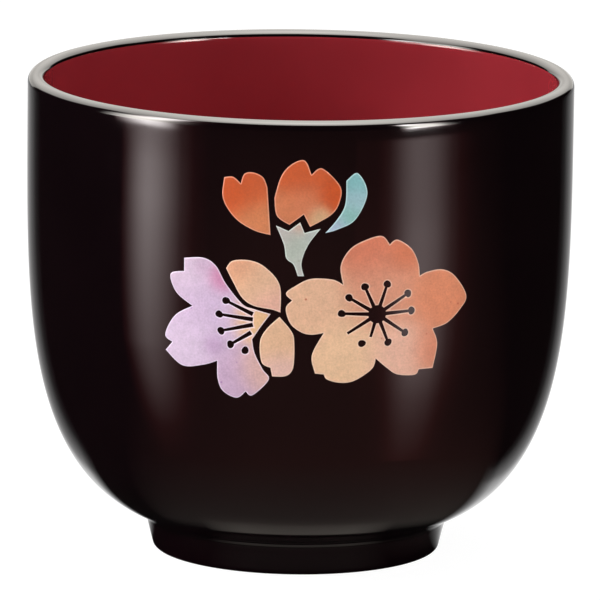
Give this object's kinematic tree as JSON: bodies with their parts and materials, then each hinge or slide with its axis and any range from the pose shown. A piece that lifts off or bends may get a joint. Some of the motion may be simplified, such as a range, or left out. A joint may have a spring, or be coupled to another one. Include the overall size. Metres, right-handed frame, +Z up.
{
  "type": "lacquer sake cup",
  "caption": "Small round lacquered cup on a low foot ring, black outside and red inside, with a cherry-blossom spray on the front.",
  "frame": {"origin": "middle of the foot ring's ground face", "axes": "+Z up along the cup's axis of turning, out of the mouth; the front with the blossom spray looks along -Y"},
  "size_m": [0.0624, 0.0626, 0.0549],
  "materials": {
    "turned_wood": "matte",
    "black_lacquer": "gloss",
    "red_lacquer": "gloss",
    "film_salmon": "satin",
    "film_lilac": "satin",
    "film_peach": "satin",
    "film_vermilion": "satin",
    "film_turquoise": "satin",
    "film_grey_green": "satin"
  },
  "bodies": {
    "root": {"bowl_core": "turned_wood", "foot_ring_core": "turned_wood", "outer_black_coat": "black_lacquer", "foot_black_coat": "black_lacquer", "base_black_coat": "black_lacquer", "inner_red_coat": "red_lacquer", "lip_black_band": "black_lacquer", "film_right_blossom": "film_salmon", "film_left_blossom": "film_lilac", "film_left_blossom_upper_petal": "film_peach", "film_left_blossom_lower_petal": "film_peach", "film_bud_left_petal": "film_vermilion", "film_bud_middle_petal": "film_vermilion", "film_bud_right_petal": "film_turquoise", "film_bud_calyx": "film_grey_green"}
  },
  "joints": []
}
